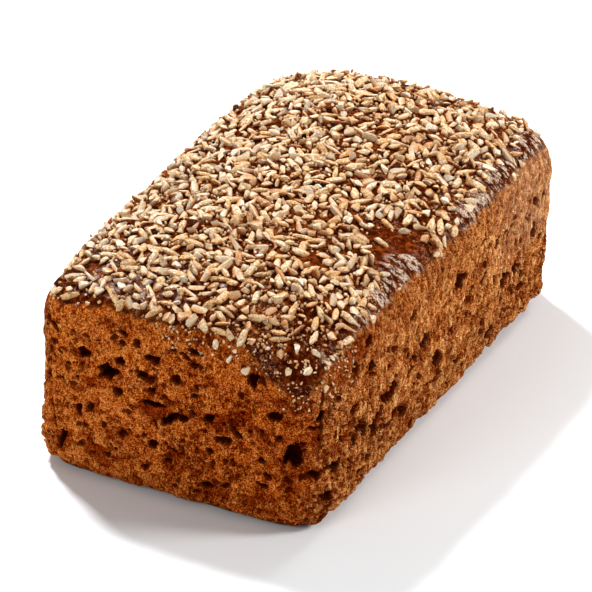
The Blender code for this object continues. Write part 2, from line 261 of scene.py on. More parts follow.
# Grains stuck below the rim, on the near end and its right corner: piece, seed, tries, the wall's way out,
# then the ranges of place along the wall, height and length
NEAR_CORNER = (0.62, -0.78, 0)
STUCK_GRAINS = (
    ("rye_chips", 51, 9, WALL_WAYS["near"], (0.014, 0.046), (0.0590, 0.0665), (0.0024, 0.0048)),
    ("rye_crumbs", 52, 110, WALL_WAYS["near"], (-0.010, 0.048), (0.0595, 0.0680), (0.0007, 0.0017)),
    ("rye_chips", 53, 5, NEAR_CORNER, (-0.032, -0.008), (0.0540, 0.0640), (0.0020, 0.0045)),
    ("rye_crumbs", 54, 120, NEAR_CORNER, (-0.034, -0.004), (0.0480, 0.0640), (0.0007, 0.0018)),
)

# Colours from dark to pale: the near end's and the long sides' crust, the top skin, the bran of the kernels,
# and what darkens the kernels towards the skin: painted shade on their undersides, and glaze soaked into them
END_STOPS = (
    (0.38, (0.110, 0.009, 0.0003)),
    (0.46, (0.300, 0.034, 0.0006)),
    (0.53, (0.520, 0.101, 0.0045)),
    (0.63, (0.870, 0.340, 0.0720)),
)
SIDE_STOPS = (
    (0.37, (0.110, 0.006, 0.0002)),
    (0.46, (0.310, 0.052, 0.0020)),
    (0.53, (0.570, 0.208, 0.0370)),
    (0.63, (0.950, 0.540, 0.2200)),
)
SKIN_STOPS = (
    (0.38, (0.035, 0.003, 0.0002)),
    (0.50, (0.092, 0.011, 0.0006)),
    (0.62, (0.270, 0.054, 0.0042)),
)
BRAN_STOPS = (
    (0.00, (0.400, 0.150, 0.030)),
    (0.08, (0.640, 0.280, 0.070)),
    (0.25, (0.830, 0.520, 0.205)),
    (0.70, (0.930, 0.690, 0.370)),
    (1.00, (0.970, 0.800, 0.560)),
)
SOAKED_AND_SHADED_STOPS = (
    (0.00, (0.180, 0.045, 0.006)),
    (0.30, (0.560, 0.225, 0.058)),
    (0.65, (0.880, 0.640, 0.370)),
    (0.95, (1.000, 1.000, 1.000)),
)

# Studio: lamps with their place, size and power, the warm light all round, and the floor
LAMPS = {
    "key": ((-0.95, 0.65, 1.45), 0.30, 51),
    "back": ((0.25, 1.7, 1.0), 0.5, 11),
    "right": ((1.50, 0.65, 1.05), 0.6, 26),
    "front": ((-0.5, -1.8, 1.0), 0.9, 12.6),
}
LAMP_AIM = Vector((0, 0, 0.04))
SKY_COLOUR = (1.0, 0.955, 0.90, 1)
SKY_STRENGTH = 0.31
FLOOR_SIZE = 6
CAMERA_REACH = 50


# Form of the loaf


def crown(x, y):
    """Rise of the arched top above the walls' height at the corners."""
    across = CROWN_ACROSS * (1 - np.minimum(1, np.abs(x) / HALF_WIDTH) ** ACROSS_POWER)
    along = CROWN_ALONG * (1 - np.minimum(1, np.abs(y) / HALF_LENGTH) ** ALONG_POWER)
    return across + along


def bowed(x, y, z):
    """The long sides bow out a little towards the middle."""
    return np.stack([x * (1 + SIDE_BOW / HALF_WIDTH * (1 - (y / HALF_LENGTH) ** 2)), y, z], axis=-1)


def outline(u, v):
    """Points of the walls' outline for points on the rim of the square from -1 to 1, and their ways out."""
    place = np.stack([u * HALF_WIDTH, v * HALF_LENGTH], axis=-1)
    limit = np.array((HALF_WIDTH - CORNER_RADIUS, HALF_LENGTH - CORNER_RADIUS))
    core = np.clip(place, -limit, limit)
    way = place - core
    way /= np.maximum(np.linalg.norm(way, axis=-1, keepdims=True), 1e-12)
    return core + way * CORNER_RADIUS, way


def wall_points(u, v, share):
    """Points of the walls, through the base's rounding, the straight wall and the top's rounding."""
    w = np.interp(share, *WALL_STOPS)
    edge, way = outline(u, v)
    low = w < WALL_START
    high = w >= WALL_END
    low_angle = (w + 1) / (WALL_START + 1) * pi / 2
    high_angle = (w - WALL_END) / (1 - WALL_END) * pi / 2
    inset = np.where(low, BASE_ROUNDING * (1 - np.sin(low_angle)), 0)
    inset = np.where(high, TOP_ROUNDING * (1 - np.cos(high_angle)), inset)
    place = edge - way * inset[:, None]
    x, y = place.T
    straight = WALL_HEIGHT + crown(x, y) - BASE_ROUNDING - TOP_ROUNDING
    z = BASE_ROUNDING + straight * (w - WALL_START) / (WALL_END - WALL_START)
    z = np.where(low, BASE_ROUNDING * (1 - np.cos(low_angle)), z)
    z = np.where(high, WALL_HEIGHT - TOP_ROUNDING * (1 - np.sin(high_angle)) + crown(x, y), z)
    return bowed(x, y, z)


def flat_points(u, v, rounding):
    """Places inside the rounded edge of the base or the top, seen from above."""
    ring = np.maximum(np.abs(u), np.abs(v))
    scale = np.maximum(ring, 1e-9)
    edge, way = outline(u / scale, v / scale)
    return ((edge - way * rounding) * ring[:, None]).T


def block_points(cube):
    """Points of the plain loaf for points on the cube from -1 to 1."""
    u, v, w = cube.T
    x, y = flat_points(u, v, TOP_ROUNDING)
    top = bowed(x, y, WALL_HEIGHT + crown(x, y))
    x, y = flat_points(u, v, BASE_ROUNDING)
    base = bowed(x, y, np.zeros_like(x))
    flat = np.where((w > 0)[:, None], top, base)
    wall = np.maximum(np.abs(u), np.abs(v)) > 1 - SMALLEST_STEP
    return np.where(wall[:, None], wall_points(u, v, (w + 1) / 2), flat)


def waves(points, spacing, shift=0.0):
    """Smooth noise from about -1 to 1 at each point. Spacing is one length, or one for each axis."""
    return np.array([noise.noise(place) for place in (points / np.array(spacing) + shift).tolist()])


def relief(points):
    """How far the uneven crust stands out, as the CAD has it."""
    rough = waves(points, RELIEF_SPACING) + 0.5 * waves(points, RELIEF_SPACING / 2.3)
    return RELIEF * rough * np.clip(points[:, 2] / RELIEF_FOOT, 0, 1)


def ramp(value, low, high):
    """Smooth step from 0 at low to 1 at high."""
    share = np.clip((value - low) / (high - low), 0, 1)
    return share * share * (3 - 2 * share)


def room(x, y):
    """Distance in from the walls' outline, seen from above."""
    over_x = np.abs(x) - HALF_WIDTH + CORNER_RADIUS
    over_y = np.abs(y) - HALF_LENGTH + CORNER_RADIUS
    corner = np.hypot(np.maximum(0, over_x), np.maximum(0, over_y))
    return CORNER_RADIUS - corner - np.minimum(0, np.maximum(over_x, over_y))


def top_height(x, y):
    """Height of the plain top over a place seen from above."""
    drop = TOP_ROUNDING - np.clip(room(x, y), 0, TOP_ROUNDING)
    fall = TOP_ROUNDING - np.sqrt(np.maximum(0, TOP_ROUNDING**2 - drop**2))
    return WALL_HEIGHT - fall + crown(x, y)


def sunk(x, y):
    """How far the top skin lies below the plain top, so that the topping's own height makes up for it."""
    left = SKIN_SINK[2] * ramp(-x, 0.015, 0.040) * ramp(y, -0.065, -0.040)
    return SKIN_SINK[0] + SKIN_SINK[1] * ramp(room(x, y), 0.001, SKIN_SINK_REACH) + left


def glaze_width(y):
    """Width of the bare glaze along the right rim."""
    added = [more * ramp(1.4 - np.abs(y - middle) / half, 0, 0.8) for middle, half, more in GLAZE_PATCHES]
    return GLAZE_WIDTH + np.max(added, axis=0)


def top_point(x, y):
    return Vector(bowed(x, y, top_height(x, y)))


def top_normal(x, y):
    across = top_point(x + SMALLEST_STEP, y) - top_point(x - SMALLEST_STEP, y)
    along = top_point(x, y + SMALLEST_STEP) - top_point(x, y - SMALLEST_STEP)
    return across.cross(along).normalized()


# Crust


def scattered(draw, count, spacing, low, high, allowed):
    """Places of a flat field that keep a spacing, taken one after another."""
    found = []
    for _ in range(count * 400):
        spot = (draw.uniform(low[0], high[0]), draw.uniform(low[1], high[1]))
        clear = all(hypot(spot[0] - other[0], spot[1] - other[1]) > spacing for other in found)
        if clear and allowed(*spot):
            found.append(spot)
        if len(found) == count:
            break
    return found


def hidden_pits(draw, count, reach):
    """Seeded pits of a wall: place, height, half width, half height, lean."""
    low = (-reach, PIT_LOWEST)
    high = (reach, PIT_HIGHEST)
    rows = []
    for place, height in scattered(draw, count, PIT_SPACING, low, high, lambda x, y: True):
        wide = draw.uniform(*PIT_HALF_WIDTH)
        tall = draw.uniform(*PIT_HALF_HEIGHT)
        rows.append((place, height, wide, tall, draw.uniform(-PIT_LEAN, PIT_LEAN)))
    return rows


def fine_pits(draw, wall):
    """Seeded rows of the smallest pits, thick in some patches of a wall and thin in others."""
    reach = HALF_LENGTH if wall in ("left", "right") else HALF_WIDTH
    rows = []
    for area, least, most in FINE_PITS[wall]:
        count = int(2 * reach * WALL_HEIGHT / area)
        for _ in range(count * 3):
            place = draw.uniform(-reach, reach)
            height = draw.uniform(FINE_PIT_LOWEST, WALL_HEIGHT)
            patch = noise.noise((place / 0.016, height / 0.011, len(wall) * 7.0))
            if draw.random() > 0.40 + 0.80 * patch - 0.25 * height / WALL_HEIGHT:
                continue
            half = least + (most - least) * draw.random() ** 1.6
            rows.append((place, height, half * draw.uniform(0.85, 1.5), half * draw.uniform(0.7, 1.1),
                         draw.uniform(-40, 40), draw.uniform(0.5, 1.0)))
    return rows


def in_metres(rows):
    """Rows of a table in metres; a lean in degrees stays as it is."""
    return [(*(size * MM for size in row[:4]), *row[4:]) for row in rows]


def all_pits():
    """Pits of each wall: place, height, half width, half height, lean, share of the depth."""
    draw = Random(PIT_SEED)
    walls = {
        "near": in_metres(END_PITS),
        "right": in_metres(SIDE_PITS),
        "far": hidden_pits(draw, FAR_PITS, HALF_WIDTH - CORNER_RADIUS),
        "left": hidden_pits(draw, LEFT_PITS, HALF_LENGTH - CORNER_RADIUS),
    }
    draw = Random(FINE_PIT_SEED)
    dents = {"near": in_metres(END_DENTS), "right": in_metres(SIDE_DENTS), "far": (), "left": ()}
    full = {}
    for wall, rows in walls.items():
        shown = [(place, height, wide * 1.2, tall * 1.2, draw.uniform(-25, 25), draw.uniform(0.8, 1.1))
                 for place, height, wide, tall in dents[wall]]
        full[wall] = [(*row, 1.0) for row in rows] + shown + fine_pits(draw, wall)
    return full


def pit_depths(points, normals):
    """How deep the pits go in at each point, the deepest where they overlap."""
    deep = np.zeros(len(points))
    uneven = waves(points, 0.0017, 3.0) + 0.6 * waves(points, 0.0008, 23.0)
    for wall, rows in all_pits().items():
        out = np.array(WALL_WAYS[wall], float)
        across = np.array((-out[1], out[0], 0))
        facing = np.flatnonzero((normals @ out > 0.5) & (points[:, 2] > 0.0015))
        place = points[facing] @ across
        height = points[facing][:, 2]
        rough = uneven[facing]
        found = np.zeros(len(facing))
        for middle, level, wide, tall, lean, share in rows:
            reach = 1.4 * max(wide, tall)
            near = np.flatnonzero((np.abs(place - middle) < reach) & (np.abs(height - level) < reach))
            turn = radians(lean)
            a = place[near] - middle
            b = height[near] - level
            far = np.hypot((a * cos(turn) + b * sin(turn)) / wide, (b * cos(turn) - a * sin(turn)) / tall)
            far *= 1 + 0.46 * rough[near]
            depth = share * PIT_DEPTH * sqrt(wide * tall) * np.clip(1 - far**2.2, 0, 1) ** 0.6
            found[near] = np.maximum(found[near], depth)
        deep[facing] = np.maximum(deep[facing], found)
    return deep


def seam_heights(points):
    """How far the cracks go in, as depths, and how far the ridges stand out at each point."""
    deep = np.zeros(len(points))
    high = np.zeros(len(points))
    ragged = 1 + 0.6 * waves(points, 0.0030, 9.0)
    for height, route in SEAMS:
        height *= MM
        route = np.array(route) * MM
        for start, end in zip(route[:-1], route[1:]):
            run = (end - start)[:3]
            share = np.clip((points - start[:3]) @ run / (run @ run), 0, 1)
            half = (start[3] + share * (end[3] - start[3])) * ragged
            far = np.linalg.norm(points - start[:3] - share[:, None] * run, axis=1) / half
            if height < 0:
                open_share = half / route[:, 3].max()
                deep = np.maximum(deep, -height * open_share * np.sqrt(np.clip(1 - far**2, 0, 1)))
            else:
                high = np.maximum(high, height * np.exp(-far**2))
    return deep, high


def grid_side(bm, cells_a, cells_b, turn):
    """One side of the cube from -1 to 1, turned into its place."""
    place = turn @ Matrix.Translation((0, 0, 1))
    bmesh.ops.create_grid(bm, x_segments=cells_a, y_segments=cells_b, size=1, matrix=place)


def cube_of_cells():
    """The cube from -1 to 1, with cells of about one size once it has the loaf's shape."""
    across = round(WIDTH / CELL)
    along = round(LENGTH / CELL)
    tall = round((WALL_HEIGHT + CROWN_ACROSS + CROWN_ALONG) / CELL)
    quarter = pi / 2
    bm = bmesh.new()
    grid_side(bm, across, along, Matrix.Identity(4))
    grid_side(bm, across, along, Matrix.Rotation(pi, 4, "Y"))
    grid_side(bm, across, tall, Matrix.Rotation(quarter, 4, "X"))
    grid_side(bm, across, tall, Matrix.Rotation(-quarter, 4, "X"))
    grid_side(bm, tall, along, Matrix.Rotation(quarter, 4, "Y"))
    grid_side(bm, tall, along, Matrix.Rotation(-quarter, 4, "Y"))
    bmesh.ops.remove_doubles(bm, verts=bm.verts[:], dist=SMALLEST_STEP)
    return bm


def read_vectors(source, field):
    """The vectors of a mesh's points, one row each."""
    values = np.empty(len(source) * 3, np.float32)
    source.foreach_get(field, values)
    return values.reshape(-1, 3).astype(float)


def write_points(mesh, points):
    mesh.vertices.foreach_set("co", points.astype(np.float32).ravel())
    mesh.update()


def note(mesh, name, values):
    """Keeps one number for each point of a mesh."""
    mesh.attributes.new(name, "FLOAT", "POINT").data.foreach_set("value", values.astype(np.float32))


def long_sides(normals):
    """1 on the two long sides, and 0 on the ends, the top and the base."""
    return ramp(np.abs(normals[:, 0]), 0.6, 0.9)


def skin_share(points, normals, drop):
    """Where the glossy top skin lies, and the near right corner, where it runs further down the end."""
    x, y = points[:, 0], points[:, 1]
    corner = ramp(x, 0.022, 0.046) * ramp(-y, 0.078, 0.094) * ramp(0.80 - normals[:, 0], 0, 0.30)
    spread = 0.008 * corner * (1 + 0.7 * waves(points, 0.0035, 25.0))
    return 1 - ramp(drop - spread, 0.0018, 0.0027 + 0.0030 * corner), corner


def film_share(points, skin):
    """Where the pale wrinkled glaze lies: along the right rim, and thinner along the far one."""
    x, y = points[:, 0], points[:, 1]
    side = ramp(x, 0.034, 0.043) * ramp(y, -0.094, -0.082)
    back = 0.5 * ramp(y, 0.088, 0.095)
    width = glaze_width(y) + 0.0015 * waves(points, 0.004, 21.0)
    patch = ramp(width, GLAZE_WIDTH, GLAZE_WIDTH + 0.0025)
    reach = ramp(width + 0.002 - room(x, y), 0.0, 0.004)
    return np.maximum(side, back) * skin * reach * (0.15 + 0.85 * patch)


def hollow_share(points, sides, wall):
    """Where the walls have shallow hollows: lumpy ones all over, and upright flutes on the long sides."""
    y, z = points[:, 1], points[:, 2]
    lumpy = waves(points, (0.0075, 0.0075, 0.0052), 11.0)
    lumpy += 0.9 * waves(points, (0.0030, 0.0030, 0.0022), 12.0)
    lumpy += 0.5 * waves(points, 0.0013, 16.0) + 0.10 - 0.30 * ramp(z, 0.045, 0.060)
    flutes = waves(points, (0.0050, 0.0019, 0.0070), 18.0)
    flutes += 0.5 * waves(points, (0.0030, 0.0011, 0.0040), 19.0)
    rough = ramp(-y, 0.035, 0.065) * ramp(0.056 - z, 0, 0.010)
    rough = np.maximum(rough, 0.7 * ramp(0.030 - z, 0, 0.012))
    hollow = wall * ramp(lumpy, 0.10, 0.65) * (1 - 0.40 * sides * (1 - rough))
    return np.maximum(hollow, wall * sides * (0.50 + 0.50 * rough) * ramp(flutes, 0.05, 0.50))


def brown_share(points, sides, drop):
    """Where the walls are browner: the long sides below the rim, and the near right corner."""
    x, y = points[:, 0], points[:, 1]
    browner = 0.44 - 0.26 * ramp(y, 0.015, 0.065) + 0.54 * ramp(-y, 0.042, 0.072)
    brown = sides * ramp(0.019 - drop, 0, 0.013) * browner
    return np.maximum(brown, 0.35 * ramp(x, 0.036, 0.045) * ramp(-y, 0.084, 0.094))


def crust_marks(points, normals):
    """Shares of the top skin, the glaze, the hollows and the browner places at each point."""
    x, y, z = points.T
    plateau = WALL_HEIGHT + crown(np.clip(x, -HALF_WIDTH, HALF_WIDTH), y)
    drop = plateau - z + 0.0010 * waves(points, 0.006, 5.0) + 0.0008 * waves(points, 0.002, 6.0)
    sides = long_sides(normals)
    skin, corner = skin_share(points, normals, drop)
    wall = 1 - skin
    hollow = np.maximum(hollow_share(points, sides, wall), 0.55 * skin * corner)
    return skin, film_share(points, skin), hollow, wall * brown_share(points, sides, drop)


def surface_move(points, normals, skin, film, hollow):
    """How far the crust stands out at each point, apart from its pits, cracks and ridges."""
    z = points[:, 2]
    wall = 1 - skin
    sides = long_sides(normals)
    # Swellings all over, stronger at the foot, whose edge is bitten out in places
    move = 0.00030 * waves(points, 0.0065, 1.0) + 0.00022 * waves(points, 0.0028, 2.0) * (0.5 + 0.5 * wall)
    move += ramp(0.016 - z, 0, 0.010) * 0.0008 * waves(points, 0.0060, 7.0)
    bites = waves(points, (0.0085, 0.0085, 0.0060), 17.0) + 0.5 * waves(points, 0.0036, 22.0)
    move += ramp(0.0085 - z, 0, 0.0045) * 0.0026 * np.minimum(0.10, bites)
    # Walls: rough, with shallow hollows
    move += wall * 0.00019 * waves(points, 0.0012, 4.0)
    move -= (0.00090 + 0.00060 * sides) * hollow * wall
    # Top skin: sunk under the topping, except for the glaze
    move -= skin * (1 - 0.8 * film) * sunk(points[:, 0], points[:, 1])
    # Long sides: upright streaks and undulations
    streaks = waves(points, (0.0040, 0.0015, 0.0080), 8.0)
    move += sides * wall * (0.00052 * streaks + 0.00060 * waves(points, (0.0060, 0.0042, 0.0085), 24.0))
    # Wrinkles of the glaze, and small bumps of the skin
    wrinkles = waves(points, (0.0060, 0.0013, 0.0060), 13.0)
    wrinkles += 0.6 * waves(points, (0.0030, 0.0007, 0.0030), 14.0)
    move += film * 0.00034 * wrinkles
    move += (skin - film * 0.5) * 0.00028 * waves(points, 0.0020, 15.0)
    return move


def build_crust():
    """The whole crust as one closed mesh, with what its finish reads kept at its points."""
    bm = cube_of_cells()
    mesh = bpy.data.meshes.new("crust")
    bm.to_mesh(mesh)
    bm.free()
    points = block_points(read_vectors(mesh.vertices, "co"))
    write_points(mesh, points)
    normals = read_vectors(mesh.vertex_normals, "vector")
    points = points + normals * relief(points)[:, None]
    skin, film, hollow, brown = crust_marks(points, normals)
    foot = ramp(points[:, 2], 0.0002, 0.0030)
    upright = ramp(1 - np.abs(normals[:, 2]), 0.1, 0.5)
    pits = pit_depths(points, normals) * upright * ramp(1 - skin, 0.2, 0.7)
    cracks, ridges = seam_heights(points)
    deep = np.maximum(pits, cracks)
    move = surface_move(points, normals, skin, film, hollow)
    points += normals * ((move + ridges - deep) * foot)[:, None]
    middle = np.clip(1 - (points[:, 1] / HALF_LENGTH) ** 2, 0, 1)
    tuck = FOOT_TUCK * ramp(0.024 - points[:, 2], 0, 0.020) * middle
    points[:, 0] -= tuck * points[:, 0] / HALF_WIDTH
    points[:, 2] = np.maximum(points[:, 2], 0)
    write_points(mesh, points)
    # Depth share of the pits and cracks, which the finish paints darker as shade
    note(mesh, "pit", np.clip(deep / DARKEST_DEPTH, 0, 1) * foot)
    note(mesh, "skin", skin)
    note(mesh, "film", film)
    # Hollows and browner places, which the finish darkens: painted shade in the hollows' dents and browner
    # crust
    note(mesh, "hollow", np.maximum(hollow, brown))
    return thinned(mesh)


def add_thing(name, data):
    """A new object of the scene."""
    thing = bpy.data.objects.new(name, data)
    bpy.context.scene.collection.objects.link(thing)
    return thing


def thinned(mesh):
    """The crust with the triangles that its flat places don't need taken out."""
    thing = add_thing("crust", mesh)
    modifier = thing.modifiers.new("thinned", "DECIMATE")
    modifier.ratio = CRUST_TRIANGLES / (2 * len(mesh.polygons))
    graph = bpy.context.evaluated_depsgraph_get()
    final = bpy.data.meshes.new_from_object(thing.evaluated_get(graph))
    thing.modifiers.clear()
    thing.data = final
    bpy.data.meshes.remove(mesh)
    final.name = "crust"
    final.shade_smooth()
    return thing


# Groats


def grain_shape(sides, rings, draw):
    """A rye kernel of half size 1, its back along X and its length along Z, with a crease below."""
    bm = bmesh.new()
    bmesh.ops.create_uvsphere(bm, u_segments=sides, v_segments=rings, radius=1)
    taper = draw.uniform(0.05, 0.30)
    bend = draw.uniform(-0.42, 0.42)
    flat = draw.uniform(0.0, 0.25)
    for corner in bm.verts:
        x, y, z = corner.co
        full = sqrt((1 + abs(z) + z * z) / (1 + abs(z)))
        slim = (1 - taper * z) * (1 - flat * abs(z)) * full
        crease = 1 - 0.35 * max(0, 1 - abs(y) * 3) * (x < 0)
        corner.co = Vector((x * slim * crease + 0.1 * bend * z, y * slim + bend * (z * z - 0.4) * 0.8, z))
        shift = Vector((draw.noise_shift, 0, 0))
        swell = 1 + 0.24 * noise.noise(corner.co * 1.6 + shift)
        swell += 0.22 * noise.noise(corner.co * 3.7 + shift)
        corner.co *= swell
    return bm


def break_off(bm, place, way):
    """Breaks off what lies beyond a plane and closes the break with a face of its own finish."""
    everything = bm.verts[:] + bm.edges[:] + bm.faces[:]
    cut = bmesh.ops.bisect_plane(
        bm, geom=everything, dist=1e-5, plane_co=place, plane_no=way, clear_outer=True)
    rim = [part for part in cut["geom_cut"] if isinstance(part, bmesh.types.BMEdge)]
    if not rim:
        return
    for face in bmesh.ops.edgeloop_fill(bm, edges=rim)["faces"]:
        face.material_index = 1


class Draw(Random):
    """Random numbers, with the shift of the noise that sets one shape apart from the next."""

    noise_shift = 0.0


def any_way(draw, flatness=0.0):
    """A random direction, the nearer to the length the larger the flatness."""
    way = Vector((draw.gauss(0, 1), draw.gauss(0, 1), draw.gauss(0, 1) * (1 + flatness)))
    return way.normalized()


def whole_kernel(draw):
    """A kernel that may have lost one end."""
    bm = grain_shape(8, 7, draw)
    if draw.random() < 0.45:
        end = draw.choice((-1, 1))
        place = Vector((0, 0, end * draw.uniform(0.45, 0.8)))
        way = any_way(draw, 3) + Vector((0, 0, end * 3))
        break_off(bm, place, way.normalized())
    return bm


def split_kernel(draw):
    """A kernel split along its length, which shows its pale inside."""
    bm = grain_shape(8, 6, draw)
    for _ in range(draw.choice((1, 2, 2))):
        way = Vector((draw.uniform(-0.3, 1), draw.uniform(-1, 1), draw.uniform(-0.25, 0.25))).normalized()
        break_off(bm, way * draw.uniform(0.1, 0.5), way)
    for end in (-1, 1):
        if draw.random() < 0.65:
            way = (any_way(draw) + Vector((0, 0, end * 2.0))).normalized()
            break_off(bm, Vector((0, 0, end * draw.uniform(0.4, 0.8))), way)
    return bm


def chipped_kernel(draw):
    """A blocky chip with several broken faces."""
    bm = grain_shape(7, 6, draw)
    for _ in range(draw.choice((4, 5, 6, 7))):
        way = any_way(draw)
        break_off(bm, way * draw.uniform(0.30, 0.70), way)
    return bm


def crumb(draw):
    """A small uneven crumb, every second one broken flat on a side."""
    bm = bmesh.new()
    bmesh.ops.create_icosphere(bm, subdivisions=1, radius=1)
    for corner in bm.verts:
        corner.co *= draw.uniform(0.65, 1.1)
    if draw.random() < 0.5:
        way = any_way(draw)
        break_off(bm, way * draw.uniform(0.2, 0.5), way)
    return bm


def shape_arrays(bm):
    """A shape's points from -1 to 1, its triangles, and which of them are broken faces."""
    bmesh.ops.triangulate(bm, faces=bm.faces[:])
    bmesh.ops.recalc_face_normals(bm, faces=bm.faces[:])
    bm.verts.index_update()
    points = np.array([corner.co[:] for corner in bm.verts])
    faces = np.array([[corner.index for corner in face.verts] for face in bm.faces])
    inside = np.array([face.material_index for face in bm.faces], bool)
    bm.free()
    return points, faces, inside


def shapes_of(make, count, seed):
    """Seeded shapes of one kind."""
    found = []
    for number in range(count):
        draw = Draw(seed * 100 + number)
        draw.noise_shift = number * 7.3
        found.append(shape_arrays(make(draw)))
    return found


class Bed:
    """Height of what lies on the top, over small cells seen from above."""

    cell = 0.0004
    low = (-0.0600, -0.1060)

    def __init__(self):
        columns = int(-2 * self.low[0] / self.cell)
        rows = int(-2 * self.low[1] / self.cell)
        self.x = self.low[0] + (np.arange(columns) + 0.5) * self.cell
        self.y = self.low[1] + (np.arange(rows) + 0.5) * self.cell
        wide, deep = np.meshgrid(self.x, self.y, indexing="ij")
        self.ground = top_height(wide, deep) - sunk(wide, deep)
        self.height = self.ground.copy()

    def footprint(self, x, y, turn, long, wide):
        """Cells under a grain: their window, their offsets, and how far out in the grain they lie."""
        i = np.searchsorted(self.x, [x - long, x + long])
        j = np.searchsorted(self.y, [y - long, y + long])
        window = (slice(*i), slice(*j))
        across = self.x[window[0]][:, None] - x
        along = self.y[window[1]][None, :] - y
        a = across * cos(turn) + along * sin(turn)
        b = along * cos(turn) - across * sin(turn)
        far = (a / long) ** 2 + (b / wide) ** 2
        return window, across + 0 * along, along + 0 * across, far

    def cover(self, window, far, middle, slope, across, along, thick):
        inside = far < 1
        level = middle + slope[0] * across + slope[1] * along + thick * np.sqrt(np.maximum(0, 1 - far))
        self.height[window] = np.where(inside, np.maximum(self.height[window], level), self.height[window])


def sown(x, y):
    """Whether the CAD's groats may lie at a place seen from above."""
    margin_x = SOWN_RIGHT if x > 0 else SOWN_LEFT
    margin_y = SOWN_FAR if y > 0 else SOWN_NEAR
    inside = HALF_WIDTH - abs(x) > margin_x and HALF_LENGTH - abs(y) > margin_y
    clear = all(hypot(x - across, y - along) > radius for across, along, radius in BARE_PATCHES)
    return inside and clear and room(x, y) > min(margin_x, margin_y)


def thickly_sown(x, y, small):
    """Share of the grains that stay at a place; more of the small ones stay where large ones are few."""
    inside = float(room(x, y))
    share = float(ramp(inside, 0.0005, 0.0025) * ramp(HALF_LENGTH + y, 0.0022, 0.0042))
    edge = float(glaze_width(y)) - 0.0020 + 0.0012 * noise.noise((y / 0.004, 3.0, 0))
    share *= 0.04 + 0.96 * float(ramp(HALF_WIDTH - x, edge, edge + 0.0028))
    for side, across, end, along, small_loss, large_loss in SPARSE_PLACES:
        place = float(ramp(side * x, *across)) * float(ramp(end * y, *along))
        share *= 1 - (small_loss if small else large_loss) * place
    for across, along, radius in THIN_PATCHES:
        share *= 0.02 + 0.98 * float(ramp(hypot(x - across, y - along), 0.75 * radius, 1.15 * radius))
    thin = noise.noise((x / 0.010, y / 0.010, 40.0))
    return share * max(0.20, 0.96 + 1.2 * min(0, thin + 0.25))


def tone_with_flour_and_glare(tone, x, y):
    """A grain's tone, paler in floury patches and on the left, where flour and a painted glare of the lamp
    from the back left lighten it.
    """
    patch = noise.noise((x / 0.013, y / 0.013, 60.0))
    # Paler on the left: flour, and a painted glare of the lamp from the back left
    left = float(ramp(-x, 0.000, 0.042)) - float(ramp(x, 0.010, 0.032)) * float(ramp(-y, 0.068, 0.088))
    return min(1, max(0, tone + 0.62 * left + 0.45 * patch))


def frame_at(place, along, out):
    """Matrix at a place with its X axis out of the crust and its Z axis as near to along as it can be."""
    side = along.cross(out).normalized()
    return Matrix.Translation(place) @ Matrix((out, side, out.cross(side))).transposed().to_4x4()


class Heap:
    """Grains of one kind, in one mesh with their marks: tone, inside, raised, and how far up."""

    def __init__(self, name, shapes):
        self.name = name
        self.shapes = shapes
        self.points = []
        self.faces = []
        self.marks = []
        self.total = 0

    def add(self, number, matrix, sizes, tone, raised):
        """Adds a grain of the given half sizes, with its tone and how high it lies from 0 to 1."""
        points, faces, inside = self.shapes[number % len(self.shapes)]
        turn = np.array(matrix)
        placed = (points * sizes) @ turn[:3, :3].T + turn[:3, 3]
        self.points.append(placed)
        self.faces.append(faces + self.total)
        marks = np.empty((len(faces), 3, 4))
        marks[:, :, 0] = tone
        marks[:, :, 1] = inside[:, None]
        marks[:, :, 2] = raised
        # How far up each corner lies in its grain, which the finish darkens downwards as painted shade and
        # soaked glaze
        marks[:, :, 3] = ramp(points[faces][:, :, 0] + 0.30 * inside[:, None], -0.65, 0.70)
        self.marks.append(marks.reshape(-1, 4))
        self.total += len(points)

    def finish(self, material):
        mesh = bpy.data.meshes.new(self.name)
        mesh.from_pydata(np.concatenate(self.points).tolist(), [], np.concatenate(self.faces).tolist())
        mesh.polygons.foreach_set("use_smooth", np.zeros(len(mesh.polygons), bool))
        marks = np.concatenate(self.marks).astype(np.float32)
        mesh.attributes.new("grain", "FLOAT_COLOR", "CORNER").data.foreach_set("color", marks.ravel())
        mesh.materials.append(material)
        mesh.update()
        return add_thing(self.name, mesh)


def lay_cad_groats(bed, heap):
    """The CAD's groats, each where its solid is."""
    draw = Random(GROAT_SEED)
    tones = Random(GROAT_TONE_SEED)
    low = (-HALF_WIDTH, -HALF_LENGTH)
    high = (HALF_WIDTH, HALF_LENGTH)
    places = scattered(draw, GROATS, GROAT_SPACING, low, high, sown)
    for number, (x, y) in enumerate(places):
        long = draw.uniform(*GROAT_LENGTH) / 2
        wide = draw.uniform(*GROAT_WIDTH) / 2
        thick = draw.uniform(*GROAT_THICKNESS) / 2
        turn = draw.uniform(0, pi)
        tilt = radians(draw.uniform(-GROAT_TILT, GROAT_TILT))
        out = top_normal(x, y)
        ground = top_point(x, y)
        ground += out * float(relief(np.array([ground[:]]))[0] - sunk(x, y))
        direction = Vector((cos(turn), sin(turn), 0))
        spot = frame_at(ground + out * thick * 2 * GROAT_RISE, direction, out)
        spot @= Matrix.Rotation(tilt, 4, "Y")
        heap.add(number, spot, (thick, wide, long), tones.random(), GROAT_RAISED)
        window, across, along, far = bed.footprint(x, y, turn, long, wide)
        slope = (-out.x / out.z, -out.y / out.z)
        middle = ground.z + thick * 2 * GROAT_RISE * out.z
        bed.cover(window, far, middle, slope, across, along, thick)


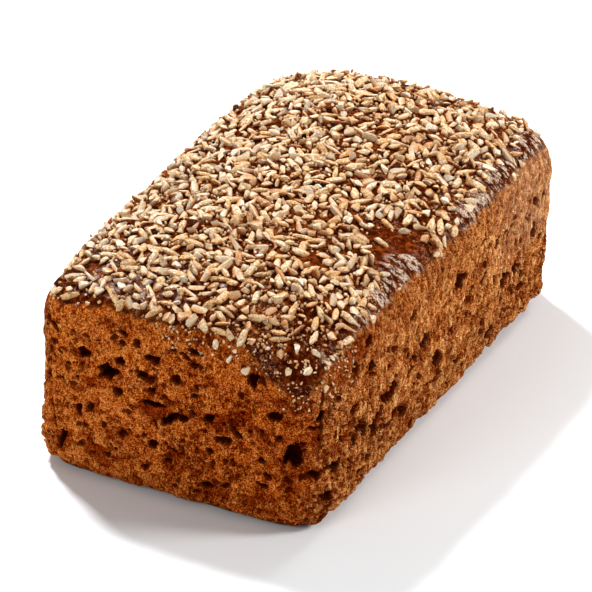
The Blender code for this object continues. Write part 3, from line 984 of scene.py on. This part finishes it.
def lay_grains(bed, heap, seed, count, length, width, thickness, tilt, crowded):
    """Lays grains one after another on the bed, most of them where little lies yet."""
    draw = Random(seed)
    for number in range(count):
        x = draw.uniform(-HALF_WIDTH, HALF_WIDTH)
        y = draw.uniform(-HALF_LENGTH, HALF_LENGTH)
        long = (length[0] + (length[1] - length[0]) * draw.random() ** 1.3) / 2
        wide = draw.uniform(*width) / 2
        thick = draw.uniform(*thickness) / 2
        turn = draw.uniform(0, pi)
        lean = radians(draw.gauss(0, tilt))
        stays = draw.random()
        free = draw.random()
        tone = tone_with_flour_and_glare(draw.random(), x, y)
        if stays > thickly_sown(x, y, length[1] < SMALL_LENGTH):
            continue
        window, across, along, far = bed.footprint(x, y, turn, long, wide)
        inside = far < 1
        if inside.sum() < 2:
            continue
        level = bed.height[window][inside]
        over = level - bed.ground[window][inside]
        if (over > TOUCHING).mean() > (crowded if free > 0.12 else 0.95):
            continue
        terms = np.stack([np.ones(len(level)), across[inside], along[inside]], axis=1)
        fit = np.array((level.mean(), 0, 0))
        if len(level) > FEW_CELLS:
            fit = np.linalg.lstsq(terms, level, rcond=None)[0]
        rest = np.quantile(level - terms @ fit, 0.7)
        out = Vector((-fit[1], -fit[2], 1)).normalized()
        if out.z < STEEPEST:
            continue
        settled = 0.45 if over.mean() < TOUCHING else 0.75
        rise = settled * thick + 0.4 * abs(sin(lean)) * long
        middle = fit[0] + rest + rise
        if middle + thick - bed.ground[window][inside].mean() > PILE_HEIGHT:
            continue
        direction = Vector((cos(turn), sin(turn), 0))
        spot = frame_at(Vector(bowed(x, y, middle)), direction, out)
        spot = spot @ Matrix.Rotation(lean, 4, "Y") @ Matrix.Rotation(draw.gauss(0, 0.5), 4, "Z")
        heap.add(number, spot, (thick, wide, long), tone, min(1, 0.3 + float(over.mean()) / RAISED_SCALE))
        bed.cover(window, far, middle, (fit[1], fit[2]), across, along, thick)


def stick_grains(tree, heap, seed, count, way, places, heights, lengths):
    """Grains that stuck to a wall below the rim, thinning out downwards."""
    draw = Random(seed)
    side = Vector((-way.y, way.x, 0))
    for number in range(count):
        place = draw.uniform(*places)
        height = heights[1] - draw.random() ** 2 * (heights[1] - heights[0])
        start = side * place + Vector((0, 0, height)) + way * 0.3
        hit, out, _, _ = tree.ray_cast(start, -way)
        if hit is None:
            continue
        long = draw.uniform(*lengths) / 2
        thick = long * draw.uniform(0.35, 0.7)
        wide = long * draw.uniform(0.45, 0.8)
        turned = Matrix.Rotation(draw.uniform(0, pi), 3, out) @ Vector((0, 0, 1))
        spot = frame_at(hit + out * thick * 0.4, turned, out)
        heap.add(number, spot, (thick, wide, long), draw.random(), 0.5)


# Finishes


class Value:
    """An output of a finish's nodes, with sums that add Math nodes."""

    def __init__(self, finish, socket):
        self.finish = finish
        self.socket = socket

    def maths(self, operation, *values):
        return self.finish.node("ShaderNodeMath", {"operation": operation}, dict(enumerate(values)))

    def __add__(self, other):
        return self.maths("ADD", self, other)

    def __sub__(self, other):
        return self.maths("SUBTRACT", self, other)

    def __rsub__(self, other):
        return self.maths("SUBTRACT", other, self)

    def __mul__(self, other):
        return self.maths("MULTIPLY", self, other)

    __radd__ = __add__
    __rmul__ = __mul__


class Finish:
    """A material and the nodes that make it."""

    def __init__(self, name):
        self.material = bpy.data.materials.new(name)
        self.material.use_nodes = True
        self.tree = self.material.node_tree
        self.shader = self.tree.nodes["Principled BSDF"]
        self.place = self.node("ShaderNodeTexCoord", {}, {}, "Object")

    def node(self, kind, settings, values, output=0):
        """Adds a node, its settings first, then the values or links of its sockets."""
        made = self.tree.nodes.new(kind)
        for name, setting in settings.items():
            if name == "stops":
                self.set_stops(made.color_ramp, setting)
            else:
                setattr(made, name, setting)
        for name, value in values.items():
            self.feed(made.inputs[name], value)
        return Value(self, made.outputs[output])

    def feed(self, socket, value):
        if isinstance(value, Value):
            self.tree.links.new(value.socket, socket)
        else:
            socket.default_value = value

    def set_stops(self, colours, stops):
        while len(colours.elements) < len(stops):
            colours.elements.new(0.5)
        for element, (position, colour) in zip(colours.elements, stops):
            element.position = position
            element.color = (*colour, 1)

    def mark(self, name, output="Fac"):
        """What is kept on the piece's mesh under a name."""
        return self.node("ShaderNodeAttribute", {"attribute_name": name}, {}, output)

    def axis(self, name):
        """Place along one axis, in metres."""
        return self.node("ShaderNodeSeparateXYZ", {}, {"Vector": self.place}, name)

    def speckle(self, size, detail=2.0, roughness=0.5, stretch=None):
        """Noise with spots of a size in metres, longer where a stretch is given."""
        place = self.place
        if stretch:
            place = self.node("ShaderNodeVectorMath", {"operation": "MULTIPLY"}, {0: place, 1: stretch})
        values = {"Vector": place, "Scale": 1 / size, "Detail": detail, "Roughness": roughness}
        return self.node("ShaderNodeTexNoise", {}, values, "Fac")

    def step(self, value, low, high):
        """Smooth step from 0 at low to 1 at high."""
        values = {"Value": value, "From Min": low, "From Max": high}
        return self.node("ShaderNodeMapRange", {"interpolation_type": "SMOOTHSTEP"}, values)

    def shades(self, value, stops):
        return self.node("ShaderNodeValToRGB", {"stops": stops}, {"Fac": value})

    def mix(self, share, first, second, way="MIX"):
        settings = {"data_type": "RGBA", "blend_type": way}
        colours = [colour if isinstance(colour, Value) else (*colour, 1) for colour in (first, second)]
        return self.node("ShaderNodeMix", settings, {0: share, 6: colours[0], 7: colours[1]}, 2)

    def layers(self, colour, layers):
        """Lays layers over a colour one after another: share, colour, and the way if it isn't a plain mix."""
        for share, top, *way in layers:
            colour = self.mix(share, colour, top, *way)
        return colour

    def bump(self, height, distance):
        return self.node("ShaderNodeBump", {}, {"Height": height, "Distance": distance, "Strength": 1.0})

    def end(self, colour, roughness, normal, specular):
        self.feed(self.shader.inputs["Base Color"], colour)
        self.feed(self.shader.inputs["Roughness"], roughness)
        self.feed(self.shader.inputs["Normal"], normal)
        self.shader.inputs["Specular IOR Level"].default_value = specular
        return self.material


def crust_finish():
    finish = Finish("crust")
    pit, skin, film, hollow = [finish.mark(name) for name in ("pit", "skin", "film", "hollow")]
    across, along, height = [finish.axis(name) for name in "XYZ"]
    # Noises, and where the two long sides lie
    grain = finish.speckle(0.00056, 3.0, 0.72)
    fleck = finish.step(finish.speckle(0.00062, 2.0, 0.6), 0.60, 0.68)
    coarse = finish.speckle(0.0022, 3.0, 0.65)
    porous = finish.speckle(0.0014, 3.0, 0.65, (1.0, 1.0, 0.65))
    patchy = finish.speckle(0.0110)
    pores = finish.step(porous + 0.35 * (patchy - 0.5), 0.575, 0.635)
    ragged = 0.006 * (patchy - 0.5) + 0.002 * (coarse - 0.5)
    side = finish.step(across.maths("ABSOLUTE", across) + ragged, 0.0475, 0.0530)
    broad = finish.speckle(0.0160, 3.0, 0.55)
    streak = finish.speckle(0.0012, 3.0, 0.65, (1.0, 1.0, 0.30))
    rust = finish.step(finish.speckle(0.0036, 3.0, 0.65) + 0.3 * (patchy - 0.5), 0.52, 0.61)
    groove = finish.step(finish.speckle(0.0024, 3.0, 0.65, (1.0, 1.0, 0.30)), 0.55, 0.64)
    wrinkle = finish.speckle(0.0026, 4.0, 0.7, (0.40, 1.0, 0.40))
    # Tone of the walls from dark to pale, a little paler on the left
    tone = 0.84 * grain + 0.30 * coarse + 0.10 * broad - 0.115 + (0.10 + 0.40 * side) * (streak - 0.5)
    left = finish.step(across, 0.020, -0.050) * (1 - side)
    tone += (0.020 + 0.016 * finish.step(height, 0.036, 0.012)) * left - side * (0.10 * (grain - 0.5) + 0.008)
    # The paler far part of the right side, the foot, the dust of the skin and the flour of the glaze; the
    # flour lies on the crests of the glaze's wrinkles, as dried starch and painted highlight
    pale = finish.step(along, 0.022, 0.070) * finish.step(height + 0.02 * (patchy - 0.5), 0.026, 0.044)
    pale *= finish.step(across + ragged, 0.0475, 0.0530)
    under = finish.step(height + 0.004 * (coarse - 0.5), 0.0035, 0.0005)
    dust = finish.step(finish.speckle(0.0008, 2.0, 0.6) + 0.5 * (patchy - 0.5), 0.60, 0.66)
    flour = finish.step(wrinkle + 0.35 * (coarse - 0.5) + 0.25 * (grain - 0.5), 0.495, 0.555) * film
    flour = flour * (0.35 + 0.65 * finish.step(finish.speckle(0.0007, 2.0, 0.6), 0.43, 0.53))
    walls = finish.mix(side, finish.shades(tone, END_STOPS), finish.shades(tone, SIDE_STOPS))
    walls = finish.layers(walls, (
        (fleck * (0.35 + 0.35 * side), (0.98, 0.60, 0.29)),
        # Pores painted dark: painted shade in the small holes that the bump dents in
        (pores * (0.80 - 0.45 * side), (0.110, 0.012, 0.0006)),
        (pale * 0.17, (0.95, 0.72, 0.46)),
        (rust * 0.60, (0.60, 0.28, 0.08), "MULTIPLY"),
        (groove * side * 0.64, (0.52, 0.20, 0.04), "MULTIPLY"),
        # Pits and cracks painted darker with depth: painted shade inside them
        (finish.step(pit, 0.02, 0.17) * 0.88, (0.105, 0.010, 0.0004)),
        (finish.step(pit, 0.18, 0.55) * (0.95 - 0.30 * side), (0.022, 0.002, 0.0002)),
        (under * 0.8, (0.050, 0.007, 0.0008)),
    ))
    bare = finish.shades(0.50 * finish.speckle(0.0020) + 0.35 * coarse + 0.15 * grain, SKIN_STOPS)
    colour = finish.layers(finish.mix(skin, walls, bare), (
        # Darker in the hollows, as painted shade in their dents and browner crust, and where the walls are
        # browner
        (hollow * 0.91, (0.44, 0.18, 0.05), "MULTIPLY"),
        (dust * skin * 0.38, (0.72, 0.40, 0.19)),
        (film * 0.45, (0.40, 0.20, 0.10), "MULTIPLY"),
        # Pale glaze streaks on the wrinkle crests: dried starch, and painted highlight
        (flour * 0.90, (0.76, 0.58, 0.43)),
    ))
    finish.feed(finish.shader.inputs["Coat Weight"], 0.05 * skin * (1 - flour) * (1 - hollow))
    finish.shader.inputs["Coat Roughness"].default_value = 0.20
    rough = (0.75 - 0.30 * side) * grain + 0.4 * coarse + film * wrinkle - 0.8 * pores * (1 - skin)
    return finish.end(colour, 0.90 - 0.30 * skin + 0.20 * flour, finish.bump(rough, 0.0013), 0.0)


def groat_finish():
    finish = Finish("groats")
    marks = finish.mark("grain", "Color")
    top = finish.mark("grain", "Alpha")
    tone, inside, raised = [finish.node("ShaderNodeSeparateColor", {}, {"Color": marks}, name)
                            for name in ("Red", "Green", "Blue")]
    mottle = finish.speckle(0.0009, 4.0, 0.8)
    spots = finish.step(finish.speckle(0.00075, 2.0, 0.6), 0.50, 0.60)
    fine = finish.speckle(0.00045, 3.0, 0.8)
    # Grains that lie low between others are darker: painted shade between the grains, and more toasted bran
    bran = finish.shades(tone * 0.8 + 0.2 * raised, BRAN_STOPS)
    bran = finish.mix(finish.step(mottle, 0.48, 0.60) * 0.58, bran, (0.68, 0.320, 0.085))
    flour = finish.mix(tone, (0.95, 0.66, 0.39), (1.00, 0.94, 0.82))
    # Undersides of the kernels darker: painted shade, and glaze soaked into them
    soaked_and_shaded = finish.shades(top + 0.5 * (mottle - 0.5), SOAKED_AND_SHADED_STOPS)
    colour = finish.layers(finish.mix(inside * 0.80, bran, flour), (
        (finish.step(mottle, 0.52, 0.41) * (0.38 + 0.50 * tone), (1.00, 0.97, 0.91)),
        (1.0, soaked_and_shaded, "MULTIPLY"),
        (spots * (0.55 - 0.25 * inside), (0.78, 0.54, 0.30), "MULTIPLY"),
        (finish.step(fine, 0.50, 0.58) * 0.36, (0.82, 0.62, 0.36), "MULTIPLY"),
        (finish.step(fine, 0.47, 0.40) * 0.32, (1.00, 0.95, 0.80)),
    ))
    return finish.end(colour, 0.75 + 0.15 * inside, finish.bump(fine, 0.00085), 0.02)


def floor_finish():
    finish = Finish("floor")
    shade = finish.mix(finish.speckle(0.05), (0.875, 0.90, 0.92), (0.905, 0.93, 0.95))
    finish.feed(finish.shader.inputs["Base Color"], shade)
    finish.shader.inputs["Roughness"].default_value = 0.9
    return finish.material


# Stage


def make_floor():
    bm = bmesh.new()
    bmesh.ops.create_grid(bm, x_segments=1, y_segments=1, size=FLOOR_SIZE)
    mesh = bpy.data.meshes.new("floor")
    bm.to_mesh(mesh)
    bm.free()
    mesh.materials.append(floor_finish())
    add_thing("floor", mesh)


def make_camera():
    camera = add_thing("camera", bpy.data.cameras.new("camera"))
    camera.data.lens = CAMERA_LENS
    camera.data.clip_end = CAMERA_REACH
    turn = Matrix((CAMERA_RIGHT, CAMERA_UP, -CAMERA_AHEAD)).transposed().to_4x4()
    camera.matrix_world = Matrix.Translation(CAMERA_PLACE) @ turn
    bpy.context.scene.camera = camera


def make_lamp(name, place, size, power):
    light = bpy.data.lights.new(name, "AREA")
    light.shape = "DISK"
    light.size = size
    light.energy = power
    thing = add_thing(name, light)
    turn = (LAMP_AIM - Vector(place)).to_track_quat("-Z", "Y").to_matrix().to_4x4()
    thing.matrix_world = Matrix.Translation(place) @ turn
    thing.visible_camera = False


def make_light():
    world = bpy.data.worlds.new("studio")
    world.use_nodes = True
    sky = world.node_tree.nodes["Background"].inputs
    sky["Color"].default_value = SKY_COLOUR
    sky["Strength"].default_value = SKY_STRENGTH
    bpy.context.scene.world = world
    bpy.context.scene.view_settings.view_transform = "Standard"
    for name, settings in LAMPS.items():
        make_lamp(name, *settings)


def dress(thing):
    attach(thing, "root")
    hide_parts("loaf")


def make_topping(crust):
    bed = Bed()
    forms = {
        "rye_kernels": shapes_of(whole_kernel, 14, 1),
        "rye_slivers": shapes_of(split_kernel, 16, 2),
        "rye_chips": shapes_of(chipped_kernel, 18, 3),
        "rye_crumbs": shapes_of(crumb, 14, 4),
    }
    heaps = {name: Heap(name, shapes) for name, shapes in forms.items()}
    lay_cad_groats(bed, heaps["rye_kernels"])
    for name, *sowing in SOWINGS:
        lay_grains(bed, heaps[name], *sowing)
    tree = BVHTree.FromPolygons([corner.co[:] for corner in crust.data.vertices],
                                [tuple(face.vertices) for face in crust.data.polygons])
    for name, seed, count, way, *field in STUCK_GRAINS:
        stick_grains(tree, heaps[name], seed, count, Vector(way).normalized(), *field)
    material = groat_finish()
    for heap in heaps.values():
        dress(heap.finish(material))


def main():
    make_camera()
    make_light()
    make_floor()
    crust = build_crust()
    crust.data.materials.clear()
    crust.data.materials.append(crust_finish())
    dress(crust)
    make_topping(crust)


main()
